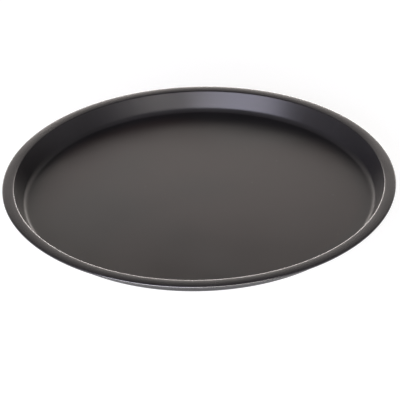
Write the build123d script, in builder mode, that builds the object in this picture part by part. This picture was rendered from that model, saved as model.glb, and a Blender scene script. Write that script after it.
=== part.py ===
from build123d import *
from math import acos, cos, degrees, radians, sin
import os

# Round pizza pan, pressed from one sheet of coated steel, with a wire rolled into its edge.
# The pan stands on the XY plane with its axis on Z.

# Driving sizes of the pan
rim_diameter = 320.0  # over the rolled edge
flange_width = 8.35  # from the inner edge of the flange to the outermost point of the rolled edge
flange_tilt = 5.5  # degrees, at both edges of the flange, which is domed between them
inner_depth = 16.2  # from the cooking face up to the crest of the flange
wall_slope = 64.0  # degrees, between the wall and the table
sheet = 0.5  # thickness of the steel
cove_radius = 5.0  # inside corner between the base and the wall
shoulder_radius = 1.0  # outside corner at the top of the wall
easing_radius = 2.2  # gentler arc from that corner to the flange
easing_tilt = 20.0  # degrees, of the sheet where the two arcs meet

# Driving sizes of the wire and of the curl that holds it
wire_diameter = 1.2
wire_clearance = 0.05  # all round the wire, inside the curl
wire_end_gap = 1.0  # between the two butted ends of the wire
curl_gap = 0.2  # between the cut edge of the sheet and the underside of the flange

# The curl: its outer face is the pan's outermost line
curl_inner_radius = wire_diameter / 2 + wire_clearance
curl_radius = curl_inner_radius + sheet
curl_centre_radius = rim_diameter / 2 - curl_radius
curl_turn = 360 - degrees(acos((curl_inner_radius - curl_gap) / curl_radius))

# The flange: a shallow arc, level at its crest, that runs into the curl without a corner
mouth_radius = rim_diameter / 2 - flange_width
flange_span = curl_centre_radius + curl_radius * sin(radians(flange_tilt)) - mouth_radius
flange_radius = flange_span / (2 * sin(radians(flange_tilt)))
crest_height = sheet + inner_depth
flange_edge_height = crest_height - flange_radius * (1 - cos(radians(flange_tilt)))
curl_centre_height = flange_edge_height - curl_radius * cos(radians(flange_tilt))

# The wall: the straight run that is left between the cove and the shoulder
cove_rise = cove_radius * (1 - cos(radians(wall_slope)))
cove_reach = cove_radius * sin(radians(wall_slope))
shoulder_rise = shoulder_radius * (cos(radians(easing_tilt)) - cos(radians(wall_slope)))
shoulder_reach = shoulder_radius * (sin(radians(wall_slope)) - sin(radians(easing_tilt)))
easing_rise = easing_radius * (cos(radians(flange_tilt)) - cos(radians(easing_tilt)))
easing_reach = easing_radius * (sin(radians(easing_tilt)) - sin(radians(flange_tilt)))
wall_rise = flange_edge_height - sheet - cove_rise - shoulder_rise - easing_rise
wall_length = wall_rise / sin(radians(wall_slope))
wall_reach = wall_length * cos(radians(wall_slope))
base_radius = mouth_radius - easing_reach - shoulder_reach - wall_reach - cove_reach


def sheet_face(depth):
    """The pan's section from its axis to the cut edge, at a depth below the upper face of the sheet."""
    base = Line((0, sheet - depth), (base_radius, sheet - depth))
    cove = JernArc(base @ 1, base % 1, cove_radius + depth, wall_slope)
    wall = PolarLine(cove @ 1, wall_length, wall_slope)
    shoulder = JernArc(wall @ 1, wall % 1, shoulder_radius - depth, easing_tilt - wall_slope)
    easing = JernArc(shoulder @ 1, shoulder % 1, easing_radius - depth, flange_tilt - easing_tilt)
    flange = JernArc(easing @ 1, easing % 1, flange_radius - depth, -2 * flange_tilt)
    curl = JernArc(flange @ 1, flange % 1, curl_radius - depth, flange_tilt - curl_turn)
    return base @ 0, curl @ 1


# Pan body: one sheet, drawn to a dish and curled under at its edge
with BuildPart() as pan_body:
    with BuildSketch(Plane.XZ):
        with BuildLine():
            upper_start, upper_end = sheet_face(0)
            lower_start, lower_end = sheet_face(sheet)
            Line(upper_start, lower_start)
            Line(upper_end, lower_end)
        make_face()
    revolve(axis=Axis.Z)

# Rim wire: one ring of round wire inside the curl, with its ends butted
wire_turn = 360 - degrees(wire_end_gap / curl_centre_radius)
with BuildPart() as rim_wire:
    with BuildSketch(Plane.XZ):
        with Locations((curl_centre_radius, curl_centre_height)):
            Circle(wire_diameter / 2)
    revolve(axis=Axis.Z, revolution_arc=wire_turn)

os.makedirs("parts", exist_ok=True)
pan_body.part.label = "pan_body"
export_step(pan_body.part, "parts/pan_body.step")
rim_wire.part.label = "rim_wire"
export_step(rim_wire.part, "parts/rim_wire.step")

print(f"mouth {2 * mouth_radius:.1f} mm, flat of the base {2 * base_radius:.1f} mm")
print(f"height {crest_height:.1f} mm, edge {2 * curl_radius:.1f} mm thick, wire turn {wire_turn:.2f} degrees")
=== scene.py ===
"""The looks of a round pizza pan of dark coated sheet steel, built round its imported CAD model."""

import math

import bpy
import numpy as np
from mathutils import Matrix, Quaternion, Vector


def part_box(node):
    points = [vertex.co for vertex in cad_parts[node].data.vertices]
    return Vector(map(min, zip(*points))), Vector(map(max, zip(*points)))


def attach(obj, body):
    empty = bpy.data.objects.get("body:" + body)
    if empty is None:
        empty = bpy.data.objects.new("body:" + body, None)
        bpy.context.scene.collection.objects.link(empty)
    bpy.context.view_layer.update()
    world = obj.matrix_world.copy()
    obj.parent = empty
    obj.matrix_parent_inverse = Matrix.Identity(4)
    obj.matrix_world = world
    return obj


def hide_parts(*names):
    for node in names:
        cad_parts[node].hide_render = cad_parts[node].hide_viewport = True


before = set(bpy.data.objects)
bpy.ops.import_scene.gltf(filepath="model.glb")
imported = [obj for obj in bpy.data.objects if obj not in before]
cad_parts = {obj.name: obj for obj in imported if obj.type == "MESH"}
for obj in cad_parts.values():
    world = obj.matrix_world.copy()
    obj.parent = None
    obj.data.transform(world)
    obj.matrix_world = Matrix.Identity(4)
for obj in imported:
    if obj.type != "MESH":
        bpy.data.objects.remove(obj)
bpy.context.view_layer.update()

bl_info = {
    "name": "Pizza Pan",
    "version": (1, 0, 0),
    "blender": (4, 5, 0),
    "location": "View3D > Sidebar > Pizza Pan",
    "description": "Builds the surfaces, finishes and studio of a round pizza pan",
    "category": "Object",
}

PAN_LOW, PAN_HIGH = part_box("pan_body")
IMAGE_SIDE = 400  # pixels
SENSOR_WIDTH = 36.0  # millimetres
WHITE = (1.0, 1.0, 1.0, 1.0)
BLACK = (0.0, 0.0, 0.0, 1.0)

# Points along the two straight runs of the section, as shares of their length, and steps along its arcs
BASE_SHARES = (0.04, 0.2, 0.4, 0.6, 0.8, 0.93, 0.985, 1.0)
WALL_SHARES = (0.06, 0.3, 0.7, 0.94, 1.0)
COVE_STEPS = 12
SHOULDER_STEPS = 6
EASING_STEPS = 5
FLANGE_STEPS = 8
CURL_STEPS = 32
CUT_EDGE_STEPS = 4

# Shares of the pan's height between which the finish of the flange fades in
FLANGE_FADE = (0.5, 0.9)
# Widths of the worn edge below the crest between which its polish fades in
WORN_FADE = (1.5, 1.0)
# Share of the base's radius within which the heat tint shows in full
TINT_REACH = 0.9
# Levels of the noise between which a tinted patch fades in
PATCH_LIMITS = (0.42, 0.58)
# Each cell draws a lot from 0 to 1: below the first of these it has no speck, above the second a full one
SPECK_LOTS = (0.93, 0.95)


class PanShape(bpy.types.PropertyGroup):
    """The sizes of the pan's section, as in the CAD model."""

    rim_radius: bpy.props.FloatProperty(
        name="Rim radius", description="From the axis to the outermost line of the rolled edge",
        default=PAN_HIGH.x, unit="LENGTH")
    height: bpy.props.FloatProperty(
        name="Height", description="From the table to the crest of the flange",
        default=PAN_HIGH.z, unit="LENGTH")
    sheet: bpy.props.FloatProperty(
        name="Sheet", description="Thickness of the steel", default=0.0005, unit="LENGTH")
    flange_width: bpy.props.FloatProperty(
        name="Flange width", description="From the inner edge of the flange to the rim's outermost line",
        default=0.00835, unit="LENGTH")
    flange_tilt: bpy.props.FloatProperty(
        name="Flange tilt", description="Slope of the domed flange at its inner edge and at its outer edge",
        default=math.radians(5.5), subtype="ANGLE")
    wall_slope: bpy.props.FloatProperty(
        name="Wall slope", description="Angle between the wall and the table",
        default=math.radians(64), subtype="ANGLE")
    cove_radius: bpy.props.FloatProperty(
        name="Cove radius", description="Inside corner between the base and the wall",
        default=0.005, unit="LENGTH")
    shoulder_radius: bpy.props.FloatProperty(
        name="Shoulder radius", description="Outside corner at the top of the wall",
        default=0.001, unit="LENGTH")
    easing_radius: bpy.props.FloatProperty(
        name="Easing radius", description="Gentler arc from that corner to the flange",
        default=0.0022, unit="LENGTH")
    easing_tilt: bpy.props.FloatProperty(
        name="Easing tilt", description="Slope of the sheet where the two arcs meet",
        default=math.radians(20), subtype="ANGLE")
    wire_diameter: bpy.props.FloatProperty(
        name="Wire diameter", description="The wire that the edge is curled round",
        default=0.0012, unit="LENGTH")
    wire_clearance: bpy.props.FloatProperty(
        name="Wire clearance", description="All round the wire, inside the curl",
        default=0.00005, unit="LENGTH")
    curl_gap: bpy.props.FloatProperty(
        name="Curl gap", description="Between the cut edge of the sheet and the underside of the flange",
        default=0.0002, unit="LENGTH")
    steps_round: bpy.props.IntProperty(
        name="Steps round", description="Faces in one turn round the pan", default=480, min=12)


class CoatFinish(bpy.types.PropertyGroup):
    """The non-stick coat."""

    colour: bpy.props.FloatVectorProperty(
        name="Colour", description="Body colour of the coat", size=3, subtype="COLOR",
        default=(0.0126, 0.0121, 0.0137), min=0, max=1)
    warm_colour: bpy.props.FloatVectorProperty(
        name="Warm colour", description="Body colour where heat and oil have tinted the coat",
        size=3, subtype="COLOR", default=(0.0195, 0.0124, 0.0128), min=0, max=1)
    warm_size: bpy.props.FloatProperty(
        name="Warm size", description="Size of the broad patches that have this tint",
        default=0.14, unit="LENGTH")
    warm_layout: bpy.props.FloatProperty(
        name="Warm layout", description="Number that picks where these patches lie", default=6.0)
    speck_colour: bpy.props.FloatVectorProperty(
        name="Speck colour", description="Colour of the few pale specks in the coat",
        size=3, subtype="COLOR", default=(0.10, 0.095, 0.09), min=0, max=1)
    speck_size: bpy.props.FloatProperty(
        name="Speck size", description="Width of a speck", default=0.0012, unit="LENGTH")
    speck_spacing: bpy.props.FloatProperty(
        name="Speck spacing", description="Side of the cells, of which about one in sixteen holds a speck",
        default=0.022, unit="LENGTH")
    speck_strength: bpy.props.FloatProperty(
        name="Speck strength", description="How fully a speck hides the coat",
        default=0.7, min=0, max=1, subtype="FACTOR")
    roughness: bpy.props.FloatProperty(
        name="Roughness", description="How far the coat spreads a reflection",
        default=0.328, min=0, max=1, subtype="FACTOR")
    rubbed_roughness: bpy.props.FloatProperty(
        name="Rubbed roughness", description="Roughness on the flange, which stacking rubs smoother",
        default=0.237, min=0, max=1, subtype="FACTOR")
    worn_roughness: bpy.props.FloatProperty(
        name="Worn roughness", description="Roughness on the flange's inner edge, which wear has polished",
        default=0.16, min=0, max=1, subtype="FACTOR")
    worn_width: bpy.props.FloatProperty(
        name="Worn width", description="How far the polish of the inner edge reaches out on to the flange",
        default=0.0006, unit="LENGTH")
    polish: bpy.props.FloatProperty(
        name="Polish", description="Share of a second, clear gloss on both edges of the flange",
        default=0.5, min=0, max=1, subtype="FACTOR")
    polish_roughness: bpy.props.FloatProperty(
        name="Polish roughness", description="How far that gloss spreads a reflection",
        default=0.2, min=0, max=1, subtype="FACTOR")
    crown: bpy.props.FloatProperty(
        name="Crown", description="Rise that the cooking face's middle shows in its gloss alone",
        default=0.0018, unit="LENGTH")
    grain_size: bpy.props.FloatProperty(
        name="Grain size", description="From one bump of the sprayed coat to the next",
        default=0.0009, unit="LENGTH")
    grain_depth: bpy.props.FloatProperty(
        name="Grain depth", description="Height of the bumps", default=0.0000008, unit="LENGTH")
    cloud_size: bpy.props.FloatProperty(
        name="Cloud size", description="Size of the broad clouds in the coat's tone and gloss",
        default=0.05, unit="LENGTH")
    cloud_tone: bpy.props.FloatProperty(
        name="Cloud tone", description="How far the clouds change the coat's tone, as a share of it",
        default=0.6, min=0, max=1, subtype="FACTOR")
    cloud_gloss: bpy.props.FloatProperty(
        name="Cloud gloss", description="How far the clouds change the coat's roughness",
        default=0.2, min=0, max=1, subtype="FACTOR")
    grain_gloss: bpy.props.FloatProperty(
        name="Grain gloss", description="How far the grain changes the coat's roughness",
        default=0.02, min=0, max=1, subtype="FACTOR")


class WireFinish(bpy.types.PropertyGroup):
    """The steel wire in the rolled edge."""

    colour: bpy.props.FloatVectorProperty(
        name="Colour", description="Colour of the drawn steel", size=3, subtype="COLOR",
        default=(0.48, 0.47, 0.46), min=0, max=1)
    roughness: bpy.props.FloatProperty(
        name="Roughness", description="How far the wire spreads a reflection",
        default=0.4, min=0, max=1, subtype="FACTOR")
    streak_width: bpy.props.FloatProperty(
        name="Streak width", description="Width of the fine streaks that the die drew along the wire",
        default=0.00012, unit="LENGTH")
    streak_drift: bpy.props.FloatProperty(
        name="Streak drift", description="How soon a streak fades along the wire: 0 is never",
        default=0.01, min=0, max=1, subtype="FACTOR")
    streak_tone: bpy.props.FloatProperty(
        name="Streak tone", description="How far the streaks change the steel's tone, as a share of it",
        default=0.4, min=0, max=1, subtype="FACTOR")
    streak_gloss: bpy.props.FloatProperty(
        name="Streak gloss", description="How far the streaks change the steel's roughness",
        default=0.2, min=0, max=1, subtype="FACTOR")


class StudioSetup(bpy.types.PropertyGroup):
    """The camera, the floor and the light."""

    camera_elevation: bpy.props.FloatProperty(
        name="Camera elevation", description="Angle of the camera above the rim, seen from the pan's axis",
        default=math.radians(30.45), subtype="ANGLE")
    camera_distance: bpy.props.FloatProperty(
        name="Camera distance", description="From the camera to the pan's axis at the height of the rim",
        default=1.5888, unit="LENGTH")
    camera_roll: bpy.props.FloatProperty(
        name="Camera roll", description="Turn of the camera about its view, clockwise",
        default=math.radians(1.415), subtype="ANGLE")
    focal_length: bpy.props.FloatProperty(
        name="Focal length", description="Focal length of the camera, in millimetres", default=175.5)
    axis_pixel: bpy.props.FloatVectorProperty(
        name="Axis pixel", description="Where the pan's axis at the height of the rim lies in the image",
        size=2, default=(199.4, 177.5))
    floor_reach: bpy.props.FloatProperty(
        name="Floor reach", description="From the pan's axis to each side of the square floor",
        default=30.0, unit="LENGTH")
    floor_drop: bpy.props.FloatProperty(
        name="Floor drop", description="How far the floor lies below the base, to keep the two faces apart",
        default=0.0001, unit="LENGTH")
    floor_colour: bpy.props.FloatVectorProperty(
        name="Floor colour", description="Colour of the floor", size=3, subtype="COLOR",
        default=(0.85, 0.85, 0.85), min=0, max=1)
    floor_shading: bpy.props.FloatProperty(
        name="Floor shading", description="Share of its light and shadow that the camera and gloss see",
        default=0.4, min=0, max=1, subtype="FACTOR")
    floor_glow: bpy.props.FloatProperty(
        name="Floor glow", description="White that they see with it, which lifts the lit floor to white",
        default=0.86, min=0, max=1, subtype="FACTOR")
    lamp_distance: bpy.props.FloatProperty(
        name="Lamp distance", description="From the pan to the middle of each soft box",
        default=2.5, unit="LENGTH")
    key_place: bpy.props.FloatVectorProperty(
        name="Key place", description="Azimuth, from the front to the right, and elevation of the key box",
        size=2, default=(math.radians(-28), math.radians(9.5)))
    key_span: bpy.props.FloatVectorProperty(
        name="Key span", description="Width and height of the key box, seen from the pan, as angles",
        size=2, default=(math.radians(50), math.radians(39)))
    key_brightness: bpy.props.FloatProperty(
        name="Key brightness", description="Level of the key box's cloth, where 1 is white", default=5.05)
    key_colour: bpy.props.FloatVectorProperty(
        name="Key colour", description="Colour of the key box", size=3, subtype="COLOR",
        default=(0.91, 0.91, 1.24), min=0, soft_max=1)
    strip_place: bpy.props.FloatVectorProperty(
        name="Strip place", description="Azimuth and elevation of the low strip of light in front of the pan",
        size=2, default=(math.radians(-6), math.radians(6.5)))
    strip_span: bpy.props.FloatVectorProperty(
        name="Strip span", description="Width and height of the low strip, seen from the pan, as angles",
        size=2, default=(math.radians(88), math.radians(12)))
    strip_brightness: bpy.props.FloatProperty(
        name="Strip brightness", description="Level of the low strip's cloth, where 1 is white", default=23.0)
    strip_colour: bpy.props.FloatVectorProperty(
        name="Strip colour", description="Colour of the low strip", size=3, subtype="COLOR",
        default=(1.0, 0.95, 0.91), min=0, soft_max=1)
    rear_place: bpy.props.FloatVectorProperty(
        name="Rear place", description="Azimuth and elevation of the thin strip of light behind the pan",
        size=2, default=(math.radians(180), math.radians(2.5)))
    rear_span: bpy.props.FloatVectorProperty(
        name="Rear span", description="Width and height of the rear strip, seen from the pan, as angles",
        size=2, default=(math.radians(44), math.radians(4)))
    rear_brightness: bpy.props.FloatProperty(
        name="Rear brightness", description="Level of the rear strip's cloth, where 1 is white", default=10.5)
    rear_colour: bpy.props.FloatVectorProperty(
        name="Rear colour", description="Colour of the rear strip", size=3, subtype="COLOR",
        default=(1.0, 0.95, 0.94), min=0, soft_max=1)
    sweep_brightness: bpy.props.FloatProperty(
        name="Sweep brightness", description="Level of the lit sweep behind the pan, at the table's height",
        default=8.4)
    sweep_height: bpy.props.FloatProperty(
        name="Sweep height", description="Elevation at which the sweep's light has faded out",
        default=math.radians(60), subtype="ANGLE")
    sweep_fall: bpy.props.FloatProperty(
        name="Sweep fall", description="Power of the fading on the way up: 1 is even, more is sooner",
        default=3.0, min=0.1)
    sweep_width: bpy.props.FloatProperty(
        name="Sweep width", description="Half the sweep's reach to the sides, seen from the pan",
        default=math.radians(42), subtype="ANGLE")
    sweep_colour: bpy.props.FloatVectorProperty(
        name="Sweep colour", description="Colour of the lit sweep and the room", size=3, subtype="COLOR",
        default=(1.0, 0.925, 0.885), min=0, max=1)
    room_brightness: bpy.props.FloatProperty(
        name="Room brightness", description="Level of the room round the lights", default=0.17)


class Socket:
    """A shader socket. Sums and products of sockets add the maths nodes that work them out."""

    def __init__(self, shader, socket):
        self.shader = shader
        self.socket = socket

    def __add__(self, other):
        return self.shader.maths("ADD", self, other)

    def __sub__(self, other):
        return self.shader.maths("SUBTRACT", self, other)

    def __rsub__(self, other):
        return self.shader.maths("SUBTRACT", other, self)

    def __mul__(self, other):
        return self.shader.maths("MULTIPLY", self, other)

    __radd__ = __add__
    __rmul__ = __mul__


class Shader:
    """A node tree, emptied and then filled one node at a time."""

    def __init__(self, tree):
        self.tree = tree
        tree.nodes.clear()

    def node(self, kind, settings=None, inputs=None, output=0):
        """Adds a node, sets it up, fills its sockets with values or links, and gives one of its outputs."""
        made = self.tree.nodes.new(kind)
        for name, value in (settings or {}).items():
            setattr(made, name, value)
        for name, value in (inputs or {}).items():
            if isinstance(value, Socket):
                self.tree.links.new(value.socket, made.inputs[name])
            else:
                made.inputs[name].default_value = value
        return Socket(self, made.outputs[output]) if len(made.outputs) else made

    def maths(self, operation, first, second=0.0):
        return self.node("ShaderNodeMath", {"operation": operation}, {0: first, 1: second})

    def axes(self, place):
        return [self.node("ShaderNodeSeparateXYZ", inputs={0: place}, output=axis) for axis in "XYZ"]

    def noise(self, place, size, detail):
        """Smooth noise from 0 to 1 whose largest lumps have this size."""
        return self.node("ShaderNodeTexNoise", inputs={
            "Vector": place, "Scale": 1 / size, "Detail": detail})

    def ramp(self, value, low, high):
        """0 where the value is at low, 1 where it is at high, and smooth between."""
        return self.node("ShaderNodeMapRange", {"interpolation_type": "SMOOTHSTEP"}, {
            "Value": value, "From Min": low, "From Max": high})

    def grey(self, value):
        return self.node("ShaderNodeCombineColor", inputs={0: value, 1: value, 2: value})

    def mix(self, share, first, second, blend="MIX"):
        """The first colour where the share is 0, and where it is 1 the second or its blend with the first."""
        return self.node("ShaderNodeMix", {"data_type": "RGBA", "blend_type": blend}, {
            0: share, 6: first, 7: second}, output=2)


def rgba(colour):
    return (*colour, 1.0)


def new_material(name):
    """A material, and the shader that fills its node tree."""
    material = bpy.data.materials.new(name)
    material.use_nodes = True
    return material, Shader(material.node_tree)


def coat_material(finish, shape):
    """The dark satin non-stick coat.

    It has a sprayed grain, broad clouds, a few pale specks and, on the cooking face, warm patches and a
    slight bow in the gloss alone, whose rise is 1 - (distance from the axis / radius of the base) squared.
    The flange is rubbed smoother, and its inner edge and the curl are polished.
    """
    material, shader = new_material("non_stick_coat")
    place = shader.node("ShaderNodeTexCoord", output="Object")
    clouds = shader.noise(place, finish.cloud_size, detail=3.0) - 0.5
    grain = shader.noise(place, finish.grain_size, detail=2.0) - 0.5
    x, y, height = shader.axes(place)
    from_axis = shader.maths("SQRT", x * x + y * y)
    curl_radius, *_, base = section_sizes(shape)
    mouth = shape.rim_radius - shape.flange_width
    raised = shader.ramp(height, *(shape.height * share for share in FLANGE_FADE))
    rubbed = raised * shader.ramp(from_axis, mouth, mouth + finish.worn_width)
    shoulder = shader.ramp(height, *(shape.height - widths * finish.worn_width for widths in WORN_FADE))
    worn = shoulder * shader.ramp(from_axis, mouth + finish.worn_width, mouth)
    curl_centre = shape.rim_radius - curl_radius
    rolled = raised * shader.ramp(from_axis, curl_centre, curl_centre + curl_radius / 2)

    cell, lot = (
        shader.node("ShaderNodeTexVoronoi", {"voronoi_dimensions": "2D"}, {
            "Vector": place, "Scale": 1 / finish.speck_spacing}, output=output)
        for output in ("Distance", "Color"))
    chosen = shader.ramp(shader.node("ShaderNodeSeparateColor", inputs={0: lot}), *SPECK_LOTS)
    speck_reach = finish.speck_size / 2 / finish.speck_spacing
    specks = shader.ramp(cell, speck_reach, speck_reach / 2) * chosen

    patches = shader.node("ShaderNodeTexNoise", {"noise_dimensions": "4D"}, {
        "Vector": place, "W": finish.warm_layout, "Scale": 1 / finish.warm_size, "Detail": 1.0})
    heated = shader.ramp(patches, *PATCH_LIMITS) * shader.ramp(from_axis, base, TINT_REACH * base)
    body = shader.mix(heated, rgba(finish.colour), rgba(finish.warm_colour))
    tone = shader.mix(1.0, body, shader.grey(1.0 + finish.cloud_tone * clouds), "MULTIPLY")
    colour = shader.mix(specks * finish.speck_strength, tone, rgba(finish.speck_colour))
    roughness = (
        finish.roughness
        + (finish.rubbed_roughness - finish.roughness) * rubbed
        + (finish.worn_roughness - finish.roughness) * worn
        + finish.cloud_gloss * clouds
        + finish.grain_gloss * grain
    )
    middle = 1.0 - shader.maths("MINIMUM", from_axis * (1 / base), 1.0)
    bowed = middle * (2.0 - middle)
    bumps = shader.node("ShaderNodeBump", inputs={
        "Strength": 1.0, "Distance": 1.0, "Height": finish.crown * bowed + finish.grain_depth * grain})
    surface = shader.node("ShaderNodeBsdfPrincipled", inputs={
        "Base Color": colour,
        "Roughness": roughness,
        "IOR": 1.5,
        "Coat Weight": finish.polish * (worn + rolled),
        "Coat Roughness": finish.polish_roughness,
        "Normal": bumps,
    })
    shader.node("ShaderNodeOutputMaterial", inputs={"Surface": surface})
    return material


def wire_material(finish):
    """Drawn steel: fine streaks that run along the wire, in its tone and gloss."""
    material, shader = new_material("wire_steel")
    place = shader.node("ShaderNodeTexCoord", output="Object")
    x, y, z = shader.axes(place)
    from_axis = shader.maths("SQRT", x * x + y * y)
    across_wire = shader.node("ShaderNodeCombineXYZ", inputs={
        0: from_axis + finish.streak_drift * x, 1: z, 2: finish.streak_drift * y})
    streaks = shader.noise(across_wire, finish.streak_width, detail=2.0) - 0.5
    colour = shader.mix(1.0, rgba(finish.colour), shader.grey(1.0 + finish.streak_tone * streaks), "MULTIPLY")
    surface = shader.node("ShaderNodeBsdfPrincipled", inputs={
        "Base Color": colour,
        "Metallic": 1.0,
        "Roughness": finish.roughness + finish.streak_gloss * streaks,
    })
    shader.node("ShaderNodeOutputMaterial", inputs={"Surface": surface})
    return material


def bend(start, heading, radius, turn, count):
    """Points along an arc in the section plane, after its start, and its last heading.

    The heading h goes evenly from its first value through the turn. A point lies at
    start + radius * (sin h - sin h0, cos h0 - cos h), with the radius taken as negative on a right turn.
    """
    headings = heading + turn * np.arange(1, count + 1) / count
    signed = math.copysign(radius, turn)
    reach = signed * (np.sin(headings) - math.sin(heading))
    rise = signed * (math.cos(heading) - np.cos(headings))
    return start + np.stack([reach, rise], axis=1), headings[-1]


def straight(start, heading, length, shares):
    """Points along a straight run from start, at these shares of its length."""
    return start + np.outer(np.asarray(shares) * length, [math.cos(heading), math.sin(heading)])


def section_sizes(shape):
    """Curl's radius and turn, domed flange's radius, wall's length and flat base's radius.

    The wall is the straight run left between the cove and the shoulder, and the base what the rest leaves.
    """
    curl_inner = shape.wire_diameter / 2 + shape.wire_clearance
    curl_radius = curl_inner + shape.sheet
    curl_turn = 2 * math.pi - math.acos((curl_inner - shape.curl_gap) / curl_radius)
    slope, tilt = shape.wall_slope, shape.flange_tilt
    flange_span = shape.flange_width - curl_radius * (1 - math.sin(tilt))
    flange_radius = flange_span / (2 * math.sin(tilt))
    bends = ((shape.cove_radius, 0.0, slope), (shape.shoulder_radius, slope, shape.easing_tilt),
             (shape.easing_radius, shape.easing_tilt, tilt))
    bend_rise = sum(radius * abs(math.cos(start) - math.cos(end)) for radius, start, end in bends)
    bend_reach = sum(radius * abs(math.sin(start) - math.sin(end)) for radius, start, end in bends)
    flange_rise = flange_radius * (1 - math.cos(tilt))
    wall = (shape.height - shape.sheet - flange_rise - bend_rise) / math.sin(slope)
    base = shape.rim_radius - shape.flange_width - bend_reach - wall * math.cos(slope)
    return curl_radius, curl_turn, flange_radius, wall, base


def sheet_line(shape, depth):
    """One face of the sheet from the pan's axis to the cut edge, at a depth below the upper face.

    It runs along the base, up the cove and the wall, over the shoulder, out along the flange and round the
    curl. All arcs keep their centres at any depth, so their radii grow or shrink by it.
    """
    slope, tilt = shape.wall_slope, shape.flange_tilt
    curl_radius, curl_turn, flange_radius, wall, base = section_sizes(shape)
    start = np.array([0.0, shape.sheet - depth])
    pieces = [start[None, :], straight(start, 0.0, base, BASE_SHARES)]
    points, heading = bend(pieces[-1][-1], 0.0, shape.cove_radius + depth, slope, COVE_STEPS)
    pieces += [points, straight(points[-1], heading, wall, WALL_SHARES)]
    for radius, turn, count in (
        (shape.shoulder_radius - depth, shape.easing_tilt - slope, SHOULDER_STEPS),
        (shape.easing_radius - depth, tilt - shape.easing_tilt, EASING_STEPS),
        (flange_radius - depth, -2 * tilt, FLANGE_STEPS),
        (curl_radius - depth, tilt - curl_turn, CURL_STEPS),
    ):
        points, heading = bend(pieces[-1][-1], heading, radius, turn, count)
        pieces.append(points)
    return np.concatenate(pieces)


def sheet_section(shape):
    """The closed section of the sheet: its upper face, the rounded cut edge, and its lower face.

    The cut edge is the half circle over the sheet's thickness, at middle - across * cos a + ahead * sin a.
    """
    upper = sheet_line(shape, 0.0)
    lower = sheet_line(shape, shape.sheet)
    across = (lower[-1] - upper[-1]) / 2
    ahead = np.array([-across[1], across[0]])
    turns = np.pi * np.arange(1, CUT_EDGE_STEPS) / CUT_EDGE_STEPS
    edge = (upper[-1] + across) - np.outer(np.cos(turns), across) + np.outer(np.sin(turns), ahead)
    return np.concatenate([upper, edge, lower[::-1]])


def revolved(name, section, steps_round):
    """A closed mesh of a section turned about Z, whose first and last points lie on the axis.

    The point at section place i and angle a is (radius[i] * cos a, radius[i] * sin a, height[i]).
    """
    rings = section[1:-1]
    angles = 2 * np.pi * np.arange(steps_round) / steps_round
    places = np.empty((len(rings), steps_round, 3))
    places[..., 0] = rings[:, :1] * np.cos(angles)
    places[..., 1] = rings[:, :1] * np.sin(angles)
    places[..., 2] = rings[:, 1:]
    poles = [[0.0, 0.0, section[0, 1]], [0.0, 0.0, section[-1, 1]]]
    points = np.concatenate([places.reshape(-1, 3), poles])

    grid = np.arange(len(rings) * steps_round).reshape(len(rings), steps_round)
    beside = np.roll(grid, -1, axis=1)
    quads = np.stack([grid[:-1], grid[1:], beside[1:], beside[:-1]], axis=-1).reshape(-1, 4)
    first, last = np.full(steps_round, grid.size), np.full(steps_round, grid.size + 1)
    fans = np.concatenate([
        np.stack([first, grid[0], beside[0]], axis=1),
        np.stack([grid[-1], last, beside[-1]], axis=1),
    ])
    mesh = bpy.data.meshes.new(name)
    mesh.from_pydata(points, [], quads.tolist() + fans.tolist())
    mesh.shade_smooth()
    piece = bpy.data.objects.new(name, mesh)
    bpy.context.scene.collection.objects.link(piece)
    return piece


class PIZZAPAN_OT_body(bpy.types.Operator):
    """Builds the drawn and curled sheet of the pan, with its coat"""

    bl_idname = "pizzapan.body"
    bl_label = "Pan body"

    def execute(self, context):
        shape = context.scene.pan_shape
        piece = revolved("pan_sheet", sheet_section(shape), shape.steps_round)
        piece.data.materials.append(coat_material(context.scene.coat_finish, shape))
        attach(piece, "root")
        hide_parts("pan_body")
        return {"FINISHED"}


class PIZZAPAN_OT_wire(bpy.types.Operator):
    """Gives the wire in the rolled edge its drawn steel"""

    bl_idname = "pizzapan.wire"
    bl_label = "Rim wire"

    def execute(self, context):
        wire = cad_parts["rim_wire"]
        wire.data.materials.clear()
        wire.data.materials.append(wire_material(context.scene.wire_finish))
        return {"FINISHED"}


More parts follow.
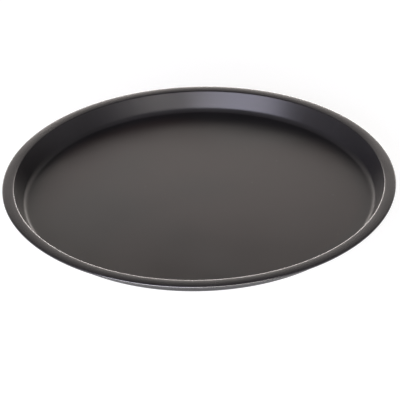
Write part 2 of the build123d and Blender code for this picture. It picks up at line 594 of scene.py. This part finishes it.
class PIZZAPAN_OT_studio(bpy.types.Operator):
    """Sets the floor, the light and the camera"""

    bl_idname = "pizzapan.studio"
    bl_label = "Studio"

    def execute(self, context):
        setup = context.scene.studio_setup
        self.lay_floor(setup)
        self.set_world(context, setup)
        for name in ("key", "strip", "rear"):
            place, span, brightness, colour = (
                getattr(setup, name + end) for end in ("_place", "_span", "_brightness", "_colour"))
            self.place_box(name, place, span, setup.lamp_distance, brightness, colour)
        self.place_camera(context, setup)
        context.scene.view_settings.view_transform = "Standard"
        return {"FINISHED"}

    def lay_floor(self, setup):
        """A level pale square, which keeps the pan's shadow and looks almost white to the camera."""
        corners = np.array([[-1.0, -1.0, 0.0], [1.0, -1.0, 0.0], [1.0, 1.0, 0.0], [-1.0, 1.0, 0.0]])
        corners *= setup.floor_reach
        corners[:, 2] = PAN_LOW.z - setup.floor_drop
        mesh = bpy.data.meshes.new("floor")
        mesh.from_pydata(corners.tolist(), [], [(0, 1, 2, 3)])
        floor = bpy.data.objects.new("floor", mesh)
        bpy.context.scene.collection.objects.link(floor)
        material, shader = new_material("floor")
        seen = (
            shader.node("ShaderNodeLightPath", output="Is Camera Ray")
            + shader.node("ShaderNodeLightPath", output="Is Glossy Ray")
            + shader.node("ShaderNodeLightPath", output="Is Transmission Ray")
        )
        share = 1.0 - (1.0 - setup.floor_shading) * seen
        colour = shader.mix(share, BLACK, rgba(setup.floor_colour))
        matt = shader.node("ShaderNodeBsdfDiffuse", inputs={"Color": colour})
        glow = shader.node("ShaderNodeEmission", inputs={
            "Color": WHITE, "Strength": setup.floor_glow * seen})
        surface = shader.node("ShaderNodeAddShader", inputs={0: matt, 1: glow})
        shader.node("ShaderNodeOutputMaterial", inputs={"Surface": surface})
        mesh.materials.append(material)

    def set_world(self, context, setup):
        """The dim room and, behind the pan, the lit sweep, which fades upwards. The camera sees white."""
        world = bpy.data.worlds.new("studio")
        context.scene.world = world
        world.use_nodes = True
        shader = Shader(world.node_tree)
        towards = shader.node("ShaderNodeTexCoord", output="Generated")
        rear = shader.node("ShaderNodeSeparateXYZ", inputs={0: towards}, output="Y")
        up = shader.node("ShaderNodeSeparateXYZ", inputs={0: towards}, output="Z")
        level_rear = shader.maths("DIVIDE", rear, shader.maths("SQRT", 1.0 - up * up))
        across = shader.ramp(level_rear, math.cos(setup.sweep_width), 1.0)
        left = shader.node("ShaderNodeMapRange", inputs={
            "Value": up, "From Min": math.sin(setup.sweep_height), "From Max": 0.0})
        height = shader.maths("POWER", left, setup.sweep_fall)
        light = setup.room_brightness + setup.sweep_brightness * across * height
        seen = shader.node("ShaderNodeLightPath", output="Is Camera Ray")
        colour = shader.mix(seen, rgba(setup.sweep_colour), WHITE)
        level = light + (1.0 - light) * seen
        glow = shader.node("ShaderNodeBackground", inputs={"Color": colour, "Strength": level})
        shader.node("ShaderNodeOutputWorld", inputs={"Surface": glow})

    def place_box(self, name, place, span, distance, brightness, colour):
        """A soft box that faces the pan, with the brightness of its cloth as seen from there."""
        azimuth, elevation = place
        away = Vector((
            math.cos(elevation) * math.sin(azimuth),
            -math.cos(elevation) * math.cos(azimuth),
            math.sin(elevation),
        ))
        data = bpy.data.lights.new(name, "AREA")
        data.shape = "RECTANGLE"
        data.size = 2 * distance * math.tan(span[0] / 2)
        data.size_y = 2 * distance * math.tan(span[1] / 2)
        data.energy = brightness * math.pi * data.size * data.size_y
        data.color = colour
        lamp = bpy.data.objects.new(name, data)
        bpy.context.scene.collection.objects.link(lamp)
        lamp.location = away * distance
        lamp.rotation_euler = away.to_track_quat("Z", "Y").to_euler()

    def place_camera(self, context, setup):
        """The camera's place and aim, from the photograph's angle and the pixel of the pan's axis."""
        rim_centre = Vector((0, 0, PAN_HIGH.z))
        back = Vector((0, -math.cos(setup.camera_elevation), math.sin(setup.camera_elevation)))
        data = bpy.data.cameras.new("camera")
        data.sensor_width = SENSOR_WIDTH
        data.lens = setup.focal_length
        camera = bpy.data.objects.new("camera", data)
        context.scene.collection.objects.link(camera)
        camera.location = rim_centre + back * setup.camera_distance
        pixels_focal = setup.focal_length / SENSOR_WIDTH * IMAGE_SIDE
        yaw = math.atan((setup.axis_pixel[0] - IMAGE_SIDE / 2) / pixels_focal)
        pitch = math.atan((setup.axis_pixel[1] - IMAGE_SIDE / 2) / pixels_focal)
        camera.rotation_mode = "QUATERNION"
        camera.rotation_quaternion = (
            (-back).to_track_quat("-Z", "Y")
            @ Quaternion((0, 1, 0), yaw)
            @ Quaternion((1, 0, 0), pitch)
            @ Quaternion((0, 0, 1), -setup.camera_roll)
        )
        context.scene.camera = camera


class PIZZAPAN_PT_panel(bpy.types.Panel):
    """Lists the pan's pieces and its studio"""

    bl_label = "Pizza Pan"
    bl_idname = "PIZZAPAN_PT_panel"
    bl_space_type = "VIEW_3D"
    bl_region_type = "UI"
    bl_category = "Pizza Pan"

    def draw(self, context):
        scene = context.scene
        for operator, group in PANEL_ROWS:
            box = self.layout.box()
            box.operator(operator.bl_idname)
            settings = getattr(scene, group)
            for name in type(settings).__annotations__:
                box.prop(settings, name)


PANEL_ROWS = (
    (PIZZAPAN_OT_body, "pan_shape"),
    (PIZZAPAN_OT_body, "coat_finish"),
    (PIZZAPAN_OT_wire, "wire_finish"),
    (PIZZAPAN_OT_studio, "studio_setup"),
)
GROUPS = {
    "pan_shape": PanShape,
    "coat_finish": CoatFinish,
    "wire_finish": WireFinish,
    "studio_setup": StudioSetup,
}
OPERATORS = (PIZZAPAN_OT_body, PIZZAPAN_OT_wire, PIZZAPAN_OT_studio)


def register():
    for group in GROUPS.values():
        bpy.utils.register_class(group)
    for cls in (*OPERATORS, PIZZAPAN_PT_panel):
        bpy.utils.register_class(cls)
    for name, group in GROUPS.items():
        setattr(bpy.types.Scene, name, bpy.props.PointerProperty(type=group))


def unregister():
    for name in GROUPS:
        delattr(bpy.types.Scene, name)
    for cls in (PIZZAPAN_PT_panel, *reversed(OPERATORS), *reversed(GROUPS.values())):
        bpy.utils.unregister_class(cls)


def main():
    register()
    bpy.ops.pizzapan.body()
    bpy.ops.pizzapan.wire()
    bpy.ops.pizzapan.studio()


if __name__ == "__main__":
    main()
